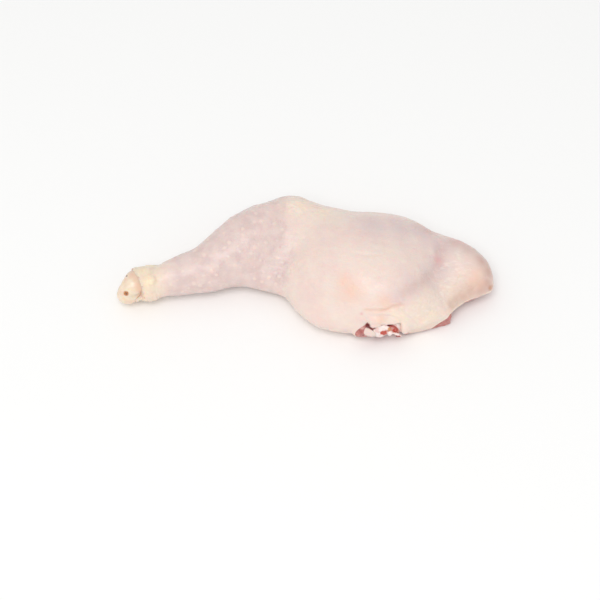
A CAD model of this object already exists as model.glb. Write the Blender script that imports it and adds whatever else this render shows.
import math
import time

import bmesh
import bpy
import numpy as np
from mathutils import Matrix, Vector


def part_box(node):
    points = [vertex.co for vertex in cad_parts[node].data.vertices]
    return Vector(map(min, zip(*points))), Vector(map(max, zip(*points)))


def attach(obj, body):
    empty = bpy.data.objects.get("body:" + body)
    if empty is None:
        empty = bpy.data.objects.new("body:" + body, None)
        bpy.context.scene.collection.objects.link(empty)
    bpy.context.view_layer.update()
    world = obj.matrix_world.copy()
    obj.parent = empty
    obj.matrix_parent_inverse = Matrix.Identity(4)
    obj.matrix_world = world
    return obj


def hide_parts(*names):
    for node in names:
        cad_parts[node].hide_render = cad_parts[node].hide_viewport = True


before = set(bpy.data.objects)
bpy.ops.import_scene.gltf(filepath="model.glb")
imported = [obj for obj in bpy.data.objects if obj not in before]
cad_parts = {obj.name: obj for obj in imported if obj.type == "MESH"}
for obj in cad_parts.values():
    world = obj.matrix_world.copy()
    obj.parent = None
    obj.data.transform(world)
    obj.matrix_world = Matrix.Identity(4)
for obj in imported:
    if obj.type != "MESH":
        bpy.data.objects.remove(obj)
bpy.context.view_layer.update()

import openvdb
from mathutils import Vector

mm = 0.001  # shapes are worked out in millimetres and become meshes in metres
started = time.time()


def report(text):
    print(f"{time.time() - started:6.1f} s  {text}")


# Camera: the photograph's angle, and the point on the table that it looks at
cameraView = {"target": (-2.2, -12.4, 0.0), "elevation": 51.0, "distance": 890.0, "lens": 88.8,
              "clip": (0.02, 10)}


def addCamera():
    tilt = math.radians(cameraView["elevation"])
    back = Vector((0, -math.cos(tilt), math.sin(tilt)))
    data = bpy.data.cameras.new("camera")
    data.lens = cameraView["lens"]
    data.clip_start, data.clip_end = cameraView["clip"]
    camera = bpy.data.objects.new("camera", data)
    camera.location = (Vector(cameraView["target"]) + back * cameraView["distance"]) * mm
    camera.rotation_euler = back.to_track_quat("Z", "Y").to_euler()
    bpy.context.scene.collection.objects.link(camera)
    bpy.context.scene.camera = camera


addCamera()


# The CAD forms, read as distances on a grid of small cubes
def gridAround(node, form):
    low, high = (np.array(corner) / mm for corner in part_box(node))
    low = low - form["margin"]
    shape = tuple(int(n) for n in np.ceil((high + form["margin"] - low) / form["cell"]) + 1)
    lines = [low[axis] + form["cell"] * np.arange(n) for axis, n in enumerate(shape)]
    axes = np.meshgrid(*lines, indexing="ij", sparse=True)
    return {"cell": form["cell"], "reach": form["reach"], "low": low, "shape": shape, "axes": axes}


def distancesTo(node, grid):  # below zero inside the node
    work = bmesh.new()
    work.from_mesh(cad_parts[node].data)
    bmesh.ops.remove_doubles(work, verts=work.verts, dist=1e-6)
    bmesh.ops.triangulate(work, faces=work.faces)
    work.verts.index_update()
    points = np.array([vert.co for vert in work.verts]) / mm
    corners = np.array([[vert.index for vert in face.verts] for face in work.faces], np.uint32)
    work.free()
    places = ((points - grid["low"]) / grid["cell"]).astype(np.float32)
    width = grid["reach"] / grid["cell"]
    level = openvdb.FloatGrid.createLevelSetFromPolygons(places, triangles=corners, halfWidth=width)
    values = np.zeros(grid["shape"], np.float32)
    level.copyToArray(values)
    return values * grid["cell"]


def softened(values, grid, width):  # a Gaussian blur, its width in millimetres
    reach = width / grid["cell"]
    last = math.ceil(2.5 * reach)  # the weights beyond it hardly count
    offsets = np.arange(-last, last + 1)
    weights = np.exp(-0.5 * (offsets / reach) ** 2)
    weights /= weights.sum()
    for axis in range(3):
        values = sum(np.float32(w) * np.roll(values, int(o), axis) for w, o in zip(weights, offsets))
    return values


def joined(a, b, width):  # two solids as one, the corner between them rounded off
    h = np.clip(0.5 + 0.5 * (b - a) / width, 0, 1)
    return b + (a - b) * h - width * h * (1 - h)


def turned(x, y, degrees):  # about Z
    c, s = math.cos(math.radians(degrees)), math.sin(math.radians(degrees))
    return x * c + y * s, y * c - x * s


def lumpAt(grid, at, radii, turn=0.0, power=2):  # distances to an ellipsoid, squarer above 2
    x, y, z = (line - middle for line, middle in zip(grid["axes"], at))
    parts = (*turned(x, y, turn), z)
    return (sum(np.abs(part / r) ** power for part, r in zip(parts, radii)) ** (1 / power) - 1) * min(radii)


def surfaceOf(values, grid):  # points in millimetres, quads, and the way out at each point
    volume = openvdb.FloatGrid(float(values.max()))
    volume.copyFromArray(values.astype(np.float32))
    places, quads = volume.convertToQuads(0.0)
    points = places.astype(float) * grid["cell"] + grid["low"]
    quads = quads.astype(np.int64)
    a, b, c, d = (points[quads[:, i]] for i in range(4))
    across = np.cross(c - a, d - b)
    out = np.zeros_like(points)
    for corner in range(4):
        for axis in range(3):
            out[:, axis] += np.bincount(quads[:, corner], across[:, axis], len(points))
    return points, quads, out / (np.linalg.norm(out, axis=1, keepdims=True) + 1e-12)


def blended(values, base, f):  # between the eight corners of each point's cell
    total = 0
    for corner in np.ndindex(2, 2, 2):
        weight = np.prod([f[..., a] if corner[a] else 1 - f[..., a] for a in range(3)], axis=0)
        i, j, k = ((base[..., a] + corner[a]) % values.shape[a] for a in range(3))
        total = total + weight * values[i, j, k]
    return total


def sampled(values, grid, points):  # a grid's values at points between its own
    place = (points - grid["low"]) / grid["cell"]
    base = np.clip(np.floor(place).astype(int), 0, np.array(grid["shape"]) - 2)
    return blended(values, base, place - base)


# The two cuts that show: a point on each, and the way that it faces
sawnSide = {"through": (63.8, -35.9, 8.0), "faces": (0.34, -0.93, -0.1)}
hockCut = {"through": (-98.7, -13.4, 13.0), "faces": (-0.88, -0.47, 0.0)}


def facing(plane):
    return np.array(plane["faces"]) / np.linalg.norm(plane["faces"])


def inFrontOf(plane, x, y, z):
    return sum(f * (line - at) for f, line, at in zip(facing(plane), (x, y, z), plane["through"]))


# Numbers that vary smoothly over space
noiseCells = 32  # before the noise repeats
intoSurface = (0.0, 0.63, -0.777)  # straight into the side that faces up and forwards
markDepth = 0.3  # how much the distance in that direction counts for a small mark


def ramp(x, low, high):  # 0 at low, 1 at high
    t = np.clip((x - low) / (high - low), 0, 1)
    return t * t * (3 - 2 * t)


def fall(x, low, high):  # 1 at low, 0 at high
    return ramp(-x, -high, -low)


def lumps(points, size, seed):  # smooth noise from -1 to 1, its lumps that size
    lattice = np.random.default_rng(seed).uniform(-1, 1, (noiseCells, noiseCells, noiseCells))
    place = points / size + 0.37 * seed
    base = np.floor(place).astype(int)
    f = place - base
    return blended(lattice, base, f * f * (3 - 2 * f))


def creases(points, size, seed):  # thin lines of 1 between lumps of that size
    return np.clip(1 - 3.5 * np.abs(lumps(points, size, seed)), 0, 1)


def layered(points, layers):  # noise of several sizes, each with its height and seed
    return sum(height * lumps(points, size, seed) for size, height, seed in layers)


def stretched(points, ways):  # space measured along three directions, each in steps of its own length
    return np.stack([points @ way / length for way, length in ways], axis=1)


def smoothLine(points, steps=12):  # a curve through hand-set points
    p = np.array(points, float)
    p = np.vstack([2 * p[0] - p[1], p, 2 * p[-1] - p[-2]])
    t = np.linspace(0, 1, steps, endpoint=False)[:, None]
    pieces = []
    for a, b, c, d in zip(p, p[1:], p[2:], p[3:]):
        pieces.append(b + 0.5 * t * (c - a + t * (2 * a - 5 * b + 4 * c - d + t * (3 * b - a - 3 * c + d))))
    return np.vstack(pieces + [p[-2:-1]])


def apart(points, place, depth):  # squared distance, the way into the surface counting that much
    away = points - place
    return (away**2).sum(axis=1) - (1 - depth**2) * (away @ intoSurface) ** 2


def nearness(points, path, width, depth=1.0):  # 1 on the line, falling off over that width and at its ends
    line = smoothLine(path)
    nearest = np.full(len(points), 1e9)
    along = np.zeros(len(points))
    for i, place in enumerate(line):
        away = apart(points, place, depth)
        closer = away < nearest
        nearest[closer] = away[closer]
        along[closer] = i / (len(line) - 1)
    return np.exp(-nearest / width**2) * ramp(along, -0.05, 0.15) * fall(along, 0.85, 1.05)


def around(points, spots, depth=1.0):  # the strongest of several round soft spots (x, y, z, radius)
    total = np.zeros(len(points))
    for x, y, z, radius in spots:
        total = np.maximum(total, np.exp(-apart(points, (x, y, z), depth) / radius**2))
    return total


def makeObject(name, points, quads, marks):
    mesh = bpy.data.meshes.new(name)
    mesh.from_pydata((points * mm).tolist(), [], quads.tolist())
    mesh.shade_smooth()
    for label, values in marks.items():
        mesh.attributes.new(label, "FLOAT", "POINT").data.foreach_set("value", values.astype(np.float32))
    obj = bpy.data.objects.new(name, mesh)
    bpy.context.scene.collection.objects.link(obj)
    report(f"{name} shaped: {len(quads)} quads, {len(marks)} marks")
    return obj


# Node trees: arithmetic on sockets, and one way to add any other node
class Wire:
    def __init__(self, tree, socket):
        self.tree = tree
        self.socket = socket

    def maths(self, operation, *values):
        return self.tree.node("ShaderNodeMath", {"operation": operation}, dict(enumerate(values)))

    def __add__(self, other):
        return self.maths("ADD", self, other)

    def __radd__(self, other):
        return self.maths("ADD", other, self)

    def __sub__(self, other):
        return self.maths("SUBTRACT", self, other)

    def __rsub__(self, other):
        return self.maths("SUBTRACT", other, self)

    def __mul__(self, other):
        return self.maths("MULTIPLY", self, other)

    def __rmul__(self, other):
        return self.maths("MULTIPLY", other, self)

    def __abs__(self):
        return self.maths("ABSOLUTE", self)

    def between(self, low, high):  # 0 at low, 1 at high, smooth between
        sockets = {"Value": self, "From Min": low, "From Max": high}
        return self.tree.node("ShaderNodeMapRange", {"interpolation_type": "SMOOTHSTEP"}, sockets)


class Tree:
    def __init__(self, tree):
        self.tree = tree

    def put(self, socket, value):
        if isinstance(value, Wire):
            self.tree.links.new(value.socket, socket)
        else:
            socket.default_value = value

    def node(self, kind, settings=None, sockets=None, output=0):
        made = self.tree.nodes.new(kind)
        for key, value in (settings or {}).items():
            setattr(made, key, value)
        for key, value in (sockets or {}).items():
            self.put(made.inputs[key], value)
        return Wire(self, made.outputs[output]) if made.outputs else None


class Recipe(Tree):  # Geometry Nodes with named inputs, run once over an object
    def __init__(self, name, values):
        super().__init__(bpy.data.node_groups.new(name, "GeometryNodeTree"))
        self.values = values
        self.tree.is_modifier = True
        face = self.tree.interface
        face.new_socket("Geometry", in_out="INPUT", socket_type="NodeSocketGeometry")
        for label, value in values.items():
            kind = "NodeSocketInt" if isinstance(value, int) else "NodeSocketFloat"
            face.new_socket(label, in_out="INPUT", socket_type=kind)
        face.new_socket("Geometry", in_out="OUTPUT", socket_type="NodeSocketGeometry")

    def given(self, label):
        return self.node("NodeGroupInput", output=label)

    def mark(self, label):
        settings = {"data_type": "FLOAT"}
        return self.node("GeometryNodeInputNamedAttribute", settings, {"Name": label}, "Attribute")

    def run(self, obj, geometry, material):  # the mesh that comes of it
        plain = self.node("GeometryNodeRealizeInstances", None, {"Geometry": geometry})
        coated = self.node("GeometryNodeSetMaterial", None, {"Geometry": plain, "Material": material})
        self.node("NodeGroupOutput", None, {"Geometry": coated})
        modifier = obj.modifiers.new(self.tree.name, "NODES")
        modifier.node_group = self.tree
        for item in self.tree.interface.items_tree:
            if item.in_out == "INPUT" and item.name in self.values:
                modifier[item.identifier] = self.values[item.name]
        made = bpy.data.meshes.new_from_object(obj.evaluated_get(bpy.context.evaluated_depsgraph_get()))
        obj.modifiers.remove(modifier)
        made.shade_smooth()
        return made


def tint(text):  # a web colour as linear red, green, blue, alpha
    parts = [int(text[i:i + 2], 16) / 255 for i in (1, 3, 5)]
    return [c / 12.92 if c < 0.04045 else ((c + 0.055) / 1.055) ** 2.4 for c in parts] + [1.0]


class Finish(Tree):  # a material, its values set on the Principled shader
    def __init__(self, name, colours):
        self.material = bpy.data.materials.new(name)
        self.material.use_nodes = True
        super().__init__(self.material.node_tree)
        self.shader = self.tree.nodes["Principled BSDF"]
        self.colours = {key: tint(value) for key, value in colours.items()}

    def set(self, **values):  # an underscore stands for a space
        for key, value in values.items():
            self.put(self.shader.inputs[key.replace("_", " ")], value)

    def mark(self, label):
        return self.node("ShaderNodeAttribute", {"attribute_name": label}, output="Fac")

    def place(self, stretch=(1, 1, 1), turn=(0, 0, 0)):
        where = self.node("ShaderNodeTexCoord", output="Object")
        return self.node("ShaderNodeMapping", None, {"Vector": where, "Scale": stretch, "Rotation": turn})

    def noise(self, size, detail=2.0, place=None, rough=0.5):  # its lumps that size, in millimetres
        sockets = {"Vector": place or self.place(), "Scale": 1 / (size * mm), "Detail": detail,
                   "Roughness": rough}
        return self.node("ShaderNodeTexNoise", None, sockets)

    def pebbles(self, size):
        sockets = {"Vector": self.place(), "Scale": 1 / (size * mm)}
        return self.node("ShaderNodeTexVoronoi", None, sockets)

    def patchy(self, label, size, detail, vary, least):  # a mark, uneven in lumps of that size
        return self.mark(label) * (self.noise(size, detail) * vary + least)

    def over(self, below, amount, colour):  # a named colour laid over another
        top = self.colours[colour] if isinstance(colour, str) else colour
        bottom = self.colours[below] if isinstance(below, str) else below
        sockets = {0: amount, 6: bottom, 7: top}  # by number, because their names repeat
        return self.node("ShaderNodeMix", {"data_type": "RGBA"}, sockets, output=2)

    def bump(self, height, depth, below=None):  # depth in millimetres
        sockets = {"Height": height, "Distance": depth * mm}
        if below:
            sockets["Normal"] = below
        return self.node("ShaderNodeBump", None, sockets)


# Flesh: skin over meat, with the bone hollows filled up to the cuts
fleshForm = {
    "cell": 0.7, "margin": 6.3, "reach": 5.6, "softening": 1.4, "boneFill": 1.0, "lastSoftening": 0.4,
    "hollow": {"left": 26, "top": 24, "behindCut": 1, "blur": 1.8, "carve": 0.17, "slope": 0.25},
    "skinEdge": {  # how high the skin ends above the table, along x in front and behind
        "front": ((24, 0), (30, 8.8), (58, 8.8), (63, 1.2), (74.6, 1.4), (78, 4.3), (81, 6.6), (87, 9.6),
                  (114, 9.0)),
        "back": ((58, 0), (74, 3.5), (88, 7.0), (102, 9.0), (114, 9.0)),
        "frontToBack": (-12, 6),
        "wobble": ((7, 0.6, 61), (2.6, 0.3, 62)),
        "wobbleFrom": (0.5, 3),
    },
    "skinStep": ((60, 0), (66, 1), (74, 0.8), (89, 0.8), (95, 1.1)),  # how far it stands out there, along x
    "lumps": [  # middle, radii, turn and rounding
        ((-91.2, -15.0, 20.6), (3.9, 3.6, 3.6), 0, 1.2),
        ((-92.8, -8.6, 21.6), (3.0, 3.4, 2.6), 0, 1.2),
        ((-91.0, -2.2, 16.0), (4.2, 2.8, 4.4), 0, 2.0),
        ((-90.4, -16.8, 10.5), (3.8, 3.2, 4.6), 0, 2.0),
        ((41.6, -43.2, 20.6), (5.4, 2.9, 2.6), -8, 1.2),
        ((40.6, -44.2, 17.6), (4.2, 2.5, 1.7), -12, 0.6),
        ((39.0, -44.6, 11.6), (5.2, 3.1, 3.9), -8, 0.6),
        ((52.6, -41.6, 20.0), (5.6, 2.8, 2.8), 12, 1.6),
        ((46.8, -43.7, 19.2), (3.6, 2.3, 1.6), 0, 0.8),
        ((51.6, -43.0, 18.8), (4.0, 2.4, 1.6), 5, 0.8),
        ((59.0, -43.4, 12.4), (3.0, 2.6, 4.6), 20, 1.2),
        ((-101.0, -7.4, 17.0), (2.4, 1.7, 1.7), 30, 1.0),
        ((-98.2, -17.6, 7.6), (2.4, 1.6, 1.8), 30, 1.0),
        ((106.6, -10.6, 9.6), (6.3, 5.2, 4.0), 0, 3.0),
    ],
    "proudMeat": {"lump": ((73.4, -30.5, 3.7), (16.0, 5.8, 5.4), 16, 8), "rounding": 2.5},
    "underMeat": {"middle": (44, -6), "radii": (47, 24), "turn": -18, "depth": 0.8,
                  "wobble": ((9, 0.12, 62), (3, 0.05, 63)), "border": (-0.02, 0.03),
                  "slant": 0.6, "slantFrom": -40, "slantWobble": [(9, 5, 64)], "bareFrom": (1.5, 3)},
    "folds": {
        "bone fold": {"path": [(33.5, -40.2, 25.4), (37.7, -40.7, 26.1), (43.2, -41.6, 26.6),
                               (47.8, -41.4, 27.6), (52.4, -40.4, 29.1), (58.9, -39.4, 29)],
                      "width": 1.2, "depth": 1.5},
        "lip line": {"path": [(55, -41.6, 28.4), (59, -42.8, 24.5), (63.5, -43.2, 19.7), (67.5, -42.8, 12.6)],
                     "width": 0.9, "depth": 1.0},
        "notch line": {"path": [(42, -43.6, 24.4), (48, -43.4, 24), (53, -43.6, 22.4), (57.5, -43.8, 19.4)],
                       "width": 0.8, "depth": 0.6},
        "thigh edge": {"path": [(84, 10, 28), (81, 2, 29.5), (79.5, -8.7, 28.1), (73, -20, 30.4),
                                (64, -30.6, 34.4), (55, -37, 33.7)],
                       "width": 4.5, "depth": 1.2},
        "knee pit": {"path": [(-32, 3, 25), (-18, -3, 24), (-6, -5, 25), (6, -12, 28)],
                     "width": 1.4, "depth": 1.0},
        "knee pit low": {"path": [(-26, -3, 19), (-14, -8, 18), (-3, -13, 20), (5, -21, 22)],
                         "width": 1.2, "depth": 0.8},
        "behind knee": {"path": [(-4, 46, 26), (3, 38, 31), (8, 27, 35)], "width": 1.8, "depth": 0.6},
        "flank fold": {"path": [(66, 26, 22), (78, 21, 26), (91, 14, 25)], "width": 2.2, "depth": 0.7},
        "flank crease": {"path": [(80, -30, 20), (88, -20, 22), (95, -8, 24)], "width": 2.0, "depth": 0.6},
        "tail crease": {"path": [(96, -20, 14), (103, -15, 18), (109, -6, 18)], "width": 1.5, "depth": 0.5},
        "thigh line": {"path": [(28, -13, 43.7), (37, -15, 44.4), (47, -14.3, 43.7)],
                       "width": 0.9, "depth": 0.35},
    },
    "crevice": {"path": [(36.4, -43.6, 17.6), (37.4, -44.9, 15.6), (40.7, -46.4, 14.2), (44.1, -47.4, 13.4)],
                "width": 0.8, "depth": 0.9, "pit": [(37.1, -44.7, 16.3, 1.9)]},
    "relief": [(19.0, 0.5, 10), (8.0, 0.24, 11), (3.4, 0.1, 12), (1.7, 0.05, 13)],  # size, height and seed
    "fatUnderSkin": {"spots": [(-2, 31, 38, 9), (8, 27, 37, 7), (0, 42, 28, 8), (-91, -14, 22, 6),
                               (84, -30, 15, 9)],
                     "height": 0.6, "size": 2.7},
    "slimmed": {"spots": [(-37, 32, 34, 9), (-26, 39, 32, 8), (-87, -3, 20, 6)], "depth": 1.7},
    "wrinkles": {"spots": [(74, -35, 20, 13), (93, -18, 20, 13), (-8, -8, 22, 15), (99, 15, 16, 11),
                           (-2, 40, 28, 10)],
                 "ways": (((0.8, 0.6, 0.0), 5.0), ((-0.6, 0.8, 0.2), 1.3), ((0, 0, 1), 2.4)), "depth": 0.36},
    "hockRings": {"from": (-90, -78), "ways": (((1, 0, 0), 1.5), ((0, 1, 0), 5), ((0, 0, 1), 5)),
                  "depth": 0.45},
    "grain": {"ways": (((0.9, 0.35, 0.1), 5), ((-0.35, 0.9, 0.0), 1.1), ((0, 0, 1), 1.2)),
              "layers": ((1.0, 0.22, 25), (1.9, 0.16, 26)), "seams": 8.0, "seamDepth": 0.35},
    "stumpRelief": [(1.5, 0.3, 27)],
    "bareMeat": {  # each pair is where a border starts and where it ends
        "left": (24, 30), "right": (68, 72), "wallTop": (18, 22), "wallFacing": (0.3, 0.7),
        "wallMiddle": 0.8, "wallDepth": (1.4, 2.4), "innerTop": (17, 22), "innerAhead": (0.4, 1.2),
        "lowFrom": (66, 70), "lowAhead": (-3, -1), "lowLeft": (22, 28), "edgeWidth": (-0.3, 0.4),
        "behind": (0, 10), "behindShift": 5, "behindWobble": [(8, 6, 65)],
        "stumpDepth": (-2.6, -1.2), "stumpFacing": (0.1, 0.5),
        "under": (0.35, 0.9), "raised": (1.9, 2.6), "raisedFacing": (0.6, 0.85),
        "rimWidth": 1.6, "rimFrom": (64, 70),
        "pale": [(41.6, -45.0, 20.6, 5.5), (40.6, -46.0, 17.6, 4.0), (39.0, -47.0, 12.5, 5.0)],
    },
    "legSkin": {  # darker: its border is sharp at one place and strays elsewhere
        "sharpAt": [(-10, 32, 38, 22)], "from": 9.7, "to": 10.7, "looser": (3, 4),
        "wobble": ((13, 30, 1, 8), (4, 31, 0.5, 2)),  # size, seed, height where sharp, and more where not
        "hockEnd": (-90, -72), "hockWobble": [(7, 2.5, 32)],
    },
    "marks": {"hollowBlur": 2.2, "hollowGain": 3.0, "foldPeach": (0.9, 1.7), "foldTan": (0.6, 0.9),
              "valleyWidth": 3.6, "pluckedFrom": (-92, -82), "pluckedThigh": 0.3},
}
stains = {  # round soft spots of colour on the skin
    "veil": [(42, 11, 41.5, 11), (56.8, 10.5, 39.3, 12), (69, 11.3, 34.8, 10), (81, 5.6, 29.6, 9),
             (79.5, -9, 28, 8), (73, -20, 30.4, 7), (64, -30.6, 34.4, 7), (54.5, -37.5, 33.7, 6)],
    "blush": [(79.7, -5, 29.2, 2.8), (92, 27, 16, 7), (104, 18, 14, 7), (33.3, -42, 23.9, 0.9),
              (95, 18, 21, 6)],
    "flank": [(92, -5, 24, 14), (86, -22, 20, 12), (70, -38, 20, 10)],
    "shade": [(90, 11, 24, 6), (98, 8, 22, 7), (106, 4, 19, 7), (109, -4, 16, 6), (108, -13, 14, 6),
              (72, 17, 30, 6)],
    "peach": [(26.5, -33, 34.4, 7), (23.7, -28.7, 36.5, 5), (47, -39, 31, 4.5), (102, -12, 20, 7),
              (44.3, -45.4, 22.3, 3.2)],
    "cream": [(-2, 31, 38, 10), (12, 26, 37, 9), (72, -39, 18, 13), (90, -26, 14, 10), (8, 40, 28, 11),
              (56, -44, 22, 7)],
    "tan": [(94, -21.8, 14.8, 6.5), (99, -18.5, 15.5, 6.5), (104, -16.5, 15, 6), (107, 0, 20.6, 5),
            (110, -5, 17.5, 5), (108.5, -12, 15.5, 4), (87, -26.5, 13.5, 4.5), (90.5, -24.2, 14.4, 5)],
    "scorch": [(110.6, -13.2, 12.2, 2.2), (111.4, -11.4, 11.6, 1.7)],
    "yellow": [(-91, -16, 22.2, 3.6), (-95.5, -9, 24, 3), (-92, -3, 19, 4)],
}


def edgeHeight(x, y):  # of the skin's lower edge, 0 where the skin goes right under
    edge = fleshForm["skinEdge"]
    front, back = (np.interp(x, *zip(*edge[side])) for side in ("front", "back"))
    height = front + (back - front) * ramp(y, *edge["frontToBack"])
    place = np.stack(np.broadcast_arrays(x, y, 0.0), axis=-1)
    return height + ramp(height, *edge["wobbleFrom"]) * layered(place, edge["wobble"])


def fleshVolume(grid):
    x, y, z = grid["axes"]
    values = distancesTo("flesh", grid)
    for bone, cut in (("shank_bone", hockCut), ("back_bone", sawnSide)):
        bulk = distancesTo(bone, grid) - fleshForm["boneFill"]
        values = np.minimum(values, np.maximum(bulk, inFrontOf(cut, x, y, z)))
    values = softened(values, grid, fleshForm["softening"])

    hollow = fleshForm["hollow"]
    inside = values < 0
    covered = np.logical_or.accumulate(inside, axis=1)
    near = (inFrontOf(sawnSide, x, y, z) > -hollow["behindCut"]) & (z < hollow["top"]) & (x > hollow["left"])
    opened = (~inside & covered & near).astype(np.float32)
    carved = softened(opened, grid, hollow["blur"]) - hollow["carve"]
    values = np.maximum(values, carved * hollow["blur"] / hollow["slope"])
    for at, radii, turn, rounding in fleshForm["lumps"]:
        values = joined(values, lumpAt(grid, at, radii, turn), rounding)
    proud = fleshForm["proudMeat"]
    values = joined(values, lumpAt(grid, *proud["lump"]), proud["rounding"])
    step = np.interp(x, *zip(*fleshForm["skinStep"]))
    values = values + step * ramp(edgeHeight(x, y) - z, -0.4, 0.4)
    values = np.maximum(values, -z)
    return softened(values, grid, fleshForm["lastSoftening"])


def underside(points, out):  # the flat where it rests, and the bare meat on it
    x, y, z = points.T
    meat, cut = fleshForm["underMeat"], fleshForm["bareMeat"]
    flat = fall(z, *cut["under"])
    raised = ramp(-out[:, 2], *cut["raisedFacing"]) * fall(z, *cut["raised"])
    u, v = turned(x - meat["middle"][0], y - meat["middle"][1], meat["turn"])
    away = np.hypot(u / meat["radii"][0], v / meat["radii"][1])
    patch = ramp(1 - away + layered(points, meat["wobble"]), *meat["border"])
    slanted = x - meat["slant"] * (y - meat["slantFrom"]) + layered(points, meat["slantWobble"])
    bare = ramp(edgeHeight(slanted, y), *meat["bareFrom"])
    return flat, np.maximum(flat, raised) * np.maximum(patch, bare)


def skinParts(points, out):  # where the surface is cut meat, the skin's inside, the underside, or skin
    x, y, z = points.T
    cut = fleshForm["bareMeat"]
    edge = edgeHeight(x, y)
    ahead = inFrontOf(sawnSide, x, y, z)
    sawnFacing = out @ facing(sawnSide)
    along = ramp(x, *cut["left"]) * fall(x, *cut["right"])
    wallDepth = np.abs(ahead + cut["wallMiddle"])
    wall = ramp(sawnFacing, *cut["wallFacing"]) * fall(wallDepth, *cut["wallDepth"])
    wall = wall * fall(z, *cut["wallTop"]) * along
    inner = ramp(ahead, *cut["innerAhead"]) * ramp(-sawnFacing, 0.0, 0.5) * fall(z, *cut["innerTop"]) * along
    start = x + ramp(y, *cut["behind"]) * (cut["behindShift"] + layered(points, cut["behindWobble"]))
    side = np.maximum(ramp(start, *cut["lowFrom"]), ramp(ahead, *cut["lowAhead"]) * ramp(x, *cut["lowLeft"]))
    low = ramp(edge - z, *cut["edgeWidth"]) * side
    stump = ramp(inFrontOf(hockCut, x, y, z), *cut["stumpDepth"])
    stump = stump * ramp(out @ facing(hockCut), *cut["stumpFacing"])
    under, below = underside(points, out)
    raw = np.clip(np.maximum.reduce([wall, low, below]), 0, 1)
    raw = raw * (1 - ramp(around(points, cut["pale"]), 0.3, 0.7))
    rim = ramp(edge + cut["rimWidth"] - z, -0.4, 0.4) * ramp(edge, 1, 3) * ramp(x, *cut["rimFrom"])
    inner = np.clip(inner, 0, 1)
    return {"raw": raw, "inner": inner * (1 - raw), "stump": stump, "under": under, "below": below,
            "rim": rim * (1 - raw), "skin": (1 - raw) * (1 - under) * (1 - stump) * (1 - inner),
            "hock": fall(x, *fleshForm["hockRings"]["from"])}


def fleshLift(points, parts):  # how far out each point moves
    form, skin, raw = fleshForm, parts["skin"], parts["raw"]
    lift = layered(points, form["relief"]) * (0.25 + 0.75 * skin)
    for fold in form["folds"].values():
        lift -= fold["depth"] * nearness(points, fold["path"], fold["width"]) * skin
    fat, slim, wrinkles = form["fatUnderSkin"], form["slimmed"], form["wrinkles"]
    lift += fat["height"] * around(points, fat["spots"]) * (0.2 + lumps(points, fat["size"], 21)) * skin
    lift -= slim["depth"] * around(points, slim["spots"]) * skin
    lines = creases(stretched(points, wrinkles["ways"]), 1.0, 24)  # one lump to a step
    lift -= wrinkles["depth"] * lines * around(points, wrinkles["spots"]) * skin
    rings = creases(stretched(points, form["hockRings"]["ways"]), 1.0, 23)
    lift -= form["hockRings"]["depth"] * rings * parts["hock"] * skin
    grain, crevice = form["grain"], form["crevice"]
    fibres = layered(stretched(points, grain["ways"]), grain["layers"])
    lift += (fibres - grain["seamDepth"] * creases(points, grain["seams"], 28)) * raw
    lift -= crevice["depth"] * nearness(points, crevice["path"], crevice["width"], markDepth)
    lift += layered(points, form["stumpRelief"]) * parts["stump"]
    lift -= form["underMeat"]["depth"] * parts["below"]
    return np.where(parts["under"] > 0.5, np.minimum(lift, 0), lift)


def legMark(points):
    x = points[:, 0]
    leg = fleshForm["legSkin"]
    stray = 1 - around(points, leg["sharpAt"])
    border = -x
    for size, seed, height, more in leg["wobble"]:
        border = border + (height + more * stray) * lumps(points, size, seed)
    sooner, later = leg["looser"]
    beyond = ramp(border, leg["from"] - sooner * stray, leg["to"] + later * stray)
    return beyond * ramp(x + layered(points, leg["hockWobble"]), *leg["hockEnd"])


def fleshMarks(points, parts, hollowness):
    x = points[:, 0]
    folds, crevice, sizes = fleshForm["folds"], fleshForm["crevice"], fleshForm["marks"]
    marks = {label: parts[label] for label in ("raw", "inner", "stump", "rim", "hock")}
    marks["leg"] = legMark(points)
    marks["hollow"] = np.clip(hollowness * sizes["hollowGain"], -1, 1)
    for label, spots in stains.items():
        marks[label] = around(points, spots)
    boneFold = folds["bone fold"]["path"]
    for label, path, (strength, width) in (("peach", boneFold, sizes["foldPeach"]),
                                           ("tan", boneFold[2:], sizes["foldTan"])):
        marks[label] = np.maximum(marks[label], strength * nearness(points, path, width))
    marks["valley"] = nearness(points, folds["thigh edge"]["path"], sizes["valleyWidth"])
    plucked = sizes["pluckedThigh"] + (1 - sizes["pluckedThigh"]) * marks["leg"]
    marks["pluck"] = parts["skin"] * plucked * ramp(x, *sizes["pluckedFrom"])
    line = nearness(points, crevice["path"], crevice["width"], markDepth)
    marks["crevice"] = np.maximum(line, around(points, crevice["pit"], markDepth))
    return marks


def makeFlesh():
    grid = gridAround("flesh", fleshForm)
    volume = fleshVolume(grid)
    points, quads, out = surfaceOf(volume, grid)
    blurred = softened(volume, grid, fleshForm["marks"]["hollowBlur"])
    hollowness = sampled(volume - blurred, grid, points)
    parts = skinParts(points, out)
    points = points + out * fleshLift(points, parts)[:, None]
    points[:, 2] = np.maximum(points[:, 2], 0.0)
    return makeObject("fleshAndSkin", points, quads, fleshMarks(points, parts, hollowness))


# Follicles: raised dots where feathers were plucked, spread evenly over the skin
follicleSizes = {"Spacing": 3.7 * mm, "Smallest": 1.1 * mm, "Larger": 1.3 * mm, "Height": 0.24 * mm,
                 "Lowest": 0.2, "Patches": 230.0, "Seed": 7}


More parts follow.
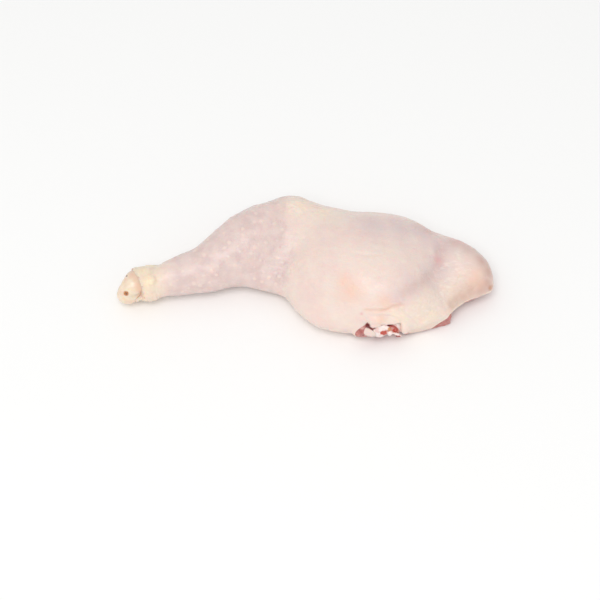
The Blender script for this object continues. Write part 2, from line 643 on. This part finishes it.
def addFollicles(obj, material):
    recipe = Recipe("follicles", follicleSizes)
    pluck = recipe.mark("pluck")
    skin = recipe.node("FunctionNodeCompare", {"operation": "GREATER_THAN"}, {"A": pluck, "B": 0.1}, "Result")
    sockets = {"Mesh": recipe.given("Geometry"), "Selection": skin, "Distance Min": recipe.given("Spacing"),
               "Density Max": 120000.0, "Seed": recipe.given("Seed")}
    method = {"distribute_method": "POISSON"}
    dots = recipe.node("GeometryNodeDistributePointsOnFaces", method, sockets, "Points")
    away = recipe.node("GeometryNodeProximity", {"target_element": "POINTS"}, {0: dots}, "Distance")
    patches = recipe.node("ShaderNodeTexNoise", None, {"Scale": recipe.given("Patches"), "Detail": 0.0})
    uneven = patches.between(0.42, 0.66)
    widest = uneven * recipe.given("Larger") + recipe.given("Smallest")
    sockets = {"Value": away, "From Min": 0.0, "From Max": widest, "To Min": 1.0, "To Max": 0.0}
    dome = recipe.node("ShaderNodeMapRange", {"interpolation_type": "SMOOTHERSTEP"}, sockets) * pluck
    lowest = recipe.given("Lowest")
    dome = dome * (uneven * (1 - lowest) + lowest)
    stored = recipe.node("GeometryNodeStoreNamedAttribute", {"data_type": "FLOAT", "domain": "POINT"},
                         {"Geometry": recipe.given("Geometry"), "Name": "follicle", "Value": dome})
    normal = recipe.node("GeometryNodeInputNormal")
    height = recipe.given("Height") * dome
    offset = recipe.node("ShaderNodeVectorMath", {"operation": "SCALE"}, {0: normal, "Scale": height})
    raised = recipe.node("GeometryNodeSetPosition", None, {"Geometry": stored, "Offset": offset})
    obj.data = recipe.run(obj, raised, material)
    report(f"follicles raised on {len(obj.data.vertices)} points")


skinLook = {
    "colours": {
        "base": "#eedbd1", "rose": "#ead1ca", "fat": "#f3e3d6", "veil": "#dbc8c8", "vein": "#c7a3aa",
        "leg": "#e5d1cb", "legDark": "#d6bebb", "dot": "#efdcd1", "blush": "#e3b0b0", "peach": "#f3ccb6",
        "cream": "#f5e4d2", "yellow": "#fae8c6", "scorch": "#c08457", "hock": "#f0ddc6", "red": "#c4625a",
        "meat": "#c98079", "meatDark": "#a0524f", "meatPale": "#dba79c", "sinew": "#ecd2c8",
        "blood": "#7a1c1c", "shade": "#d9bab3", "tan": "#cfac9d", "pale": "#faeee4",
    },
    "roseAmount": 0.6, "fatAmount": 0.3, "legAmount": 0.9, "creamAmount": 0.7, "lobuleAmount": 0.3,
    "streakAmount": 0.55, "hockAmount": 0.75, "peachAmount": 0.6, "blushAmount": 0.75, "yellowAmount": 0.8,
    "veinAmount": 0.14, "dotAmount": 0.6, "foldAmount": 0.35, "scorchAmount": 0.6, "rimAmount": 0.7,
    "innerAmount": 0.9, "fibreAmount": 0.5, "filmAmount": 0.65,
    "poreSize": 1.25, "poreDepth": 0.07, "fineDepth": 0.1, "softDepth": 0.3, "fibreDepth": 0.4,
    "roughness": 0.5, "wetShine": 0.14, "coat": 0.12, "wetCoat": 0.35, "meatCoat": 0.3,
    "scatter": 2.8, "scatterWeight": 0.5,
}


def meatColour(skin, fibres):
    meat = skin.over("meatDark", skin.noise(5, 4).between(0.3, 0.62), "meat")
    meat = skin.over(meat, fibres.between(0.45, 0.75) * skinLook["fibreAmount"], "meatPale")
    film = skin.noise(7, 4, skin.place((0.4, 1, 1), (0, 0.2, 0.4)), 0.62).between(0.54, 0.68)
    return skin.over(meat, film * skinLook["filmAmount"], "sinew")


def skinColour(skin):
    look = skinLook
    colour = skin.over("base", skin.noise(17, 2).between(0.36, 0.66) * look["roseAmount"], "rose")
    colour = skin.over(colour, skin.noise(5, 3).between(0.46, 0.7) * look["fatAmount"], "fat")
    colour = skin.over(colour, skin.patchy("veil", 8, 2, 0.5, 0.45), "veil")
    legTone = skin.over("leg", skin.noise(6, 3).between(0.36, 0.68) * 0.65, "legDark")
    colour = skin.over(colour, skin.mark("leg") * look["legAmount"], legTone)
    colour = skin.over(colour, skin.patchy("valley", 4, 3, 0.6, 0.35), "shade")
    colour = skin.over(colour, skin.mark("cream") * look["creamAmount"], "cream")
    lobules = skin.mark("cream") * skin.noise(2.3, 3).between(0.5, 0.62)
    colour = skin.over(colour, lobules * look["lobuleAmount"], "yellow")
    streaks = skin.noise(1.9, 4, skin.place((0.3, 1, 1), (0, 0, -0.9)), 0.6).between(0.5, 0.66)
    colour = skin.over(colour, streaks * skin.mark("flank") * look["streakAmount"], "pale")
    colour = skin.over(colour, skin.mark("hock") * look["hockAmount"], "hock")
    colour = skin.over(colour, skin.patchy("shade", 5, 3, 0.5, 0.55), "shade")
    colour = skin.over(colour, skin.patchy("tan", 6, 3, 0.6, 0.4), "tan")
    for label in ("peach", "blush", "yellow"):
        colour = skin.over(colour, skin.mark(label) * look[label + "Amount"], label)
    vein = 1 - abs(skin.noise(21, 2.5, skin.place((1, 0.6, 1))) - 0.5).between(0.002, 0.016)
    veined = skin.mark("veil") + skin.mark("leg") * 0.5
    colour = skin.over(colour, vein * veined * look["veinAmount"], "vein")
    colour = skin.over(colour, skin.mark("follicle").between(0.1, 0.8) * look["dotAmount"], "dot")
    colour = skin.over(colour, skin.mark("hollow").between(0.25, 0.9) * look["foldAmount"], "peach")
    colour = skin.over(colour, skin.mark("scorch").between(0.25, 0.95) * look["scorchAmount"], "scorch")
    for label in ("rim", "inner"):
        colour = skin.over(colour, skin.mark(label) * look[label + "Amount"], "cream")
    ends = skin.over("hock", skin.noise(2.6, 3).between(0.5, 0.62), "sinew")
    ends = skin.over(ends, skin.noise(3.4, 2).between(0.6, 0.68) * 0.4, "red")
    return skin.over(colour, skin.mark("stump").between(0.3, 0.7), ends)


def skinMaterial():
    look = skinLook
    skin = Finish("chickenSkin", look["colours"])
    raw = skin.mark("raw").between(0.35, 0.65)
    fibres = skin.noise(0.9, 4, skin.place((0.14, 1, 1), (0, 0.15, 0.36)))
    colour = skin.over(skinColour(skin), raw, meatColour(skin, fibres))
    colour = skin.over(colour, skin.mark("crevice").between(0.3, 0.85), "blood")

    pores = skin.pebbles(look["poreSize"]).between(0.1, 0.75) * (1 - raw)
    relief = skin.bump(pores, look["poreDepth"])
    relief = skin.bump(skin.noise(0.9, 3), look["fineDepth"], relief)
    relief = skin.bump(skin.noise(3.2, 3), look["softDepth"], relief)
    relief = skin.bump(fibres * raw, look["fibreDepth"], relief)
    wet = skin.noise(7, 3).between(0.35, 0.65)
    skin.set(Base_Color=colour, Normal=relief, Roughness=look["roughness"] - wet * look["wetShine"],
             Coat_Weight=wet * look["wetCoat"] + raw * look["meatCoat"] + look["coat"],
             Coat_Roughness=0.16, Coat_IOR=1.36, IOR=1.4, Subsurface_Weight=look["scatterWeight"],
             Subsurface_Radius=(1.0, 0.45, 0.3), Subsurface_Scale=look["scatter"] * mm)
    return skin.material


# Sawn bones of the back: knobbly ends with red marrow, in a nest of pale tissue
backForm = {
    "cell": 0.36, "margin": 2.6, "reach": 2.2, "softening": 0.55,
    "knobs": [  # middle, radii, turn and rounding
        ((47.6, -44.6, 15.0), (2.9, 2.3, 1.9), -15, 0.6),
        ((50.2, -45.5, 10.4), (2.3, 1.9, 2.0), 0, 0.5),
        ((54.0, -46.0, 10.2), (2.0, 1.9, 1.9), 0, 0.3),
        ((54.9, -45.4, 7.6), (2.3, 1.8, 1.7), 0, 0.5),
    ],
    "hollows": [
        {"path": [(48.4, -43.4, 17.0), (50.9, -44.0, 15.6), (53.6, -45.0, 13.8), (56.0, -46.2, 10.9)],
         "width": 1.1, "depth": 1.2},
        {"path": [(51.4, -46.4, 10.2), (52.4, -46.8, 8.6), (54.8, -47.1, 7.7), (57.2, -46.2, 8.2)],
         "width": 1.1, "depth": 0.7},
    ],
    "relief": ((2.6, 0.22, 43), (1.2, 0.1, 44)), "trim": 0.15, "hollowBlur": 1.1, "hollowGain": 5,
    "frontFrom": (0.3, 2.5), "marrowDepth": 0.5, "marrowWobble": [(1.4, 0.5, 45)],
    "marrow": [(45.7, -47.2, 12.8, 1.6), (47.0, -47.2, 12.2, 1.7), (52.6, -46.0, 13.3, 1.2),
               (52.2, -47.4, 9.2, 1.3)],
    "ochre": [(49.7, -45.8, 14.3, 1.5)],
    "eye": [(54.0, -47.9, 10.9, 0.6)],
    "colours": {"pale": "#f7e7e1", "pink": "#ecc9c2", "marrow": "#c4442e", "blood": "#7c1f20",
                "ochre": "#dc9a68"},
    "hollowAmount": 0.6, "grooveAmount": 0.85, "eyeAmount": 0.7,
    "grainSize": 0.5, "grainDepth": 0.18, "roughness": 0.42, "wetShine": 0.2, "coat": 0.45, "scatter": 0.8,
}


def makeBackBone():
    form = backForm
    grid = gridAround("back_bone", form)
    values = softened(distancesTo("back_bone", grid), grid, form["softening"])
    for at, radii, turn, rounding in form["knobs"]:
        values = joined(values, lumpAt(grid, at, radii, turn), rounding)
    points, quads, out = surfaceOf(values, grid)
    hollowness = sampled(values - softened(values, grid, form["hollowBlur"]), grid, points)
    groove = np.zeros(len(points))
    lift = layered(points, form["relief"]) - form["trim"]
    for hollow in form["hollows"]:
        near = nearness(points, hollow["path"], hollow["width"], markDepth)
        groove = np.maximum(groove, near)
        lift -= hollow["depth"] * near
    marrow = around(points, form["marrow"], markDepth) * (1 + layered(points, form["marrowWobble"]))
    lift -= form["marrowDepth"] * marrow
    points = points + out * lift[:, None]
    marks = {"marrow": marrow, "groove": groove, "hollow": np.clip(hollowness * form["hollowGain"], 0, 1),
             "front": ramp(inFrontOf(sawnSide, *points.T), *form["frontFrom"])}
    for label in ("ochre", "eye"):
        marks[label] = around(points, form[label], markDepth)
    return makeObject("sawnBackBone", points, quads, marks)


def backBoneMaterial():
    look = backForm
    bone = Finish("sawnBone", look["colours"])
    colour = bone.over("pale", bone.noise(3.0, 3).between(0.5, 0.66), "pink")
    colour = bone.over(colour, bone.mark("hollow").between(0.3, 0.95) * look["hollowAmount"], "marrow")
    colour = bone.over(colour, bone.mark("ochre").between(0.3, 0.7), "ochre")
    colour = bone.over(colour, bone.mark("marrow").between(0.3, 0.6), "marrow")
    colour = bone.over(colour, bone.mark("groove").between(0.3, 0.7) * look["grooveAmount"], "marrow")
    colour = bone.over(colour, bone.mark("groove").between(0.75, 1.0), "blood")
    colour = bone.over(colour, bone.mark("eye").between(0.3, 0.7) * look["eyeAmount"], "blood")
    colour = bone.over(colour, 1 - bone.mark("front").between(0.0, 0.6), "blood")
    relief = bone.bump(bone.noise(look["grainSize"], 4), look["grainDepth"])
    bone.set(Base_Color=colour, Normal=relief, Coat_Weight=look["coat"], Coat_Roughness=0.12,
             Roughness=look["roughness"] - bone.noise(2, 2) * look["wetShine"],
             Subsurface_Weight=0.2, Subsurface_Radius=(1.0, 0.4, 0.3), Subsurface_Scale=look["scatter"] * mm)
    return bone.material


# Lower leg bone: only its knuckle shows, covered in smooth cartilage
shankForm = {
    "cell": 0.62, "margin": 4.4, "reach": 3.6, "softening": 1.3,
    "swell": {"lump": ((-104.2, -16.2, 15.5), (6.0, 4.4, 5.4), 28), "rounding": 2.0},
    "flat": {"spots": [(-109, -9.5, 19, 7), (-112, -11.5, 12, 7)], "depth": 2.6},
    "relief": ((5.5, 0.22, 51), (2.0, 0.07, 52)),
    "reliefLimits": (-0.5, 0.2),
    "skirtDepth": (-4.5, -0.5),  # behind the cut
    "marks": {"spot": [(-104.6, -20.0, 15.7, 1.6)],
              "speck": [(-104.6, -12.2, 22.4, 0.8), (-99.3, -6.6, 22.6, 0.8), (-108.0, -17.0, 9.0, 1.0)]},
    "colours": {"cream": "#f1e0ca", "warm": "#ecd2bb", "skirt": "#e8c4ab", "spot": "#c47a38",
                "speck": "#6b4a3c", "gold": "#f0d6a6"},
    "goldAmount": 0.5, "skirtAmount": 0.8, "fineDepth": 0.1, "softDepth": 0.3,
    "roughness": 0.4, "wetShine": 0.15, "coat": 0.4, "scatter": 2.0,
}


def makeShankBone():
    form = shankForm
    grid = gridAround("shank_bone", form)
    values = softened(distancesTo("shank_bone", grid), grid, form["softening"])
    values = joined(values, lumpAt(grid, *form["swell"]["lump"]), form["swell"]["rounding"])
    points, quads, out = surfaceOf(values, grid)
    lift = np.clip(layered(points, form["relief"]), *form["reliefLimits"])
    lift = lift - form["flat"]["depth"] * around(points, form["flat"]["spots"])
    points = points + out * lift[:, None]
    marks = {label: around(points, spots, markDepth) for label, spots in form["marks"].items()}
    marks["skirt"] = ramp(-inFrontOf(hockCut, *points.T), *form["skirtDepth"])
    return makeObject("hockKnuckle", points, quads, marks)


def knuckleMaterial():
    look = shankForm
    bone = Finish("knuckleCartilage", look["colours"])
    colour = bone.over("cream", bone.noise(5, 3).between(0.38, 0.65), "warm")
    colour = bone.over(colour, bone.noise(3, 2).between(0.55, 0.7) * look["goldAmount"], "gold")
    colour = bone.over(colour, bone.mark("skirt") * look["skirtAmount"], "skirt")
    ragged = bone.noise(0.8, 3) + 0.5
    colour = bone.over(colour, (bone.mark("spot") * ragged).between(0.2, 0.6), "spot")
    colour = bone.over(colour, (bone.mark("spot") * ragged).between(0.65, 0.95), "speck")
    colour = bone.over(colour, (bone.mark("speck") * ragged).between(0.3, 0.8), "speck")
    relief = bone.bump(bone.noise(1.3, 3), look["fineDepth"])
    relief = bone.bump(bone.noise(4, 2), look["softDepth"], relief)
    bone.set(Base_Color=colour, Normal=relief, Coat_Weight=look["coat"], Coat_Roughness=0.1,
             Roughness=look["roughness"] - bone.noise(3, 2) * look["wetShine"],
             Subsurface_Weight=0.5, Subsurface_Radius=(1.0, 0.6, 0.4), Subsurface_Scale=look["scatter"] * mm)
    return bone.material


# Setting: a plain pale floor and soft light from above and in front
studio = {"floor": "#fcfcfb", "floorSize": 6, "floorTop": -0.0002, "floorRoughness": 0.7, "world": 0.685,
          "key": 27.8, "keyAt": (-0.29, -1.3, 2.2), "keySize": 1.7}


def addStudio():
    bpy.ops.mesh.primitive_plane_add(size=studio["floorSize"], location=(0, 0, studio["floorTop"]))
    floor = bpy.context.object
    floor.name = "floor"
    paint = Finish("floorPaint", {"paint": studio["floor"]})
    paint.set(Base_Color=paint.colours["paint"], Roughness=studio["floorRoughness"])
    floor.data.materials.append(paint.material)
    data = bpy.data.lights.new("keyLight", "AREA")
    data.shape = "DISK"
    data.size = studio["keySize"]
    data.energy = studio["key"]
    light = bpy.data.objects.new("keyLight", data)
    light.location = studio["keyAt"]
    light.rotation_euler = Vector(studio["keyAt"]).to_track_quat("Z", "Y").to_euler()
    bpy.context.scene.collection.objects.link(light)
    world = bpy.data.worlds.new("world")
    world.use_nodes = True
    background = world.node_tree.nodes["Background"]
    background.inputs["Strength"].default_value = studio["world"]
    background.inputs["Color"].default_value = (1, 1, 1, 1)
    bpy.context.scene.world = world
    bpy.context.scene.view_settings.view_transform = "Standard"
    report("floor and light set")


addStudio()
flesh = makeFlesh()
addFollicles(flesh, skinMaterial())
backBone = makeBackBone()
backBone.data.materials.append(backBoneMaterial())
shankBone = makeShankBone()
shankBone.data.materials.append(knuckleMaterial())
for piece, node, slot in ((flesh, "flesh", "skin"), (backBone, "back_bone", "sawn_bone"),
                          (shankBone, "shank_bone", "knuckle")):
    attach(piece, "root")
    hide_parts(node)
report("pieces placed")
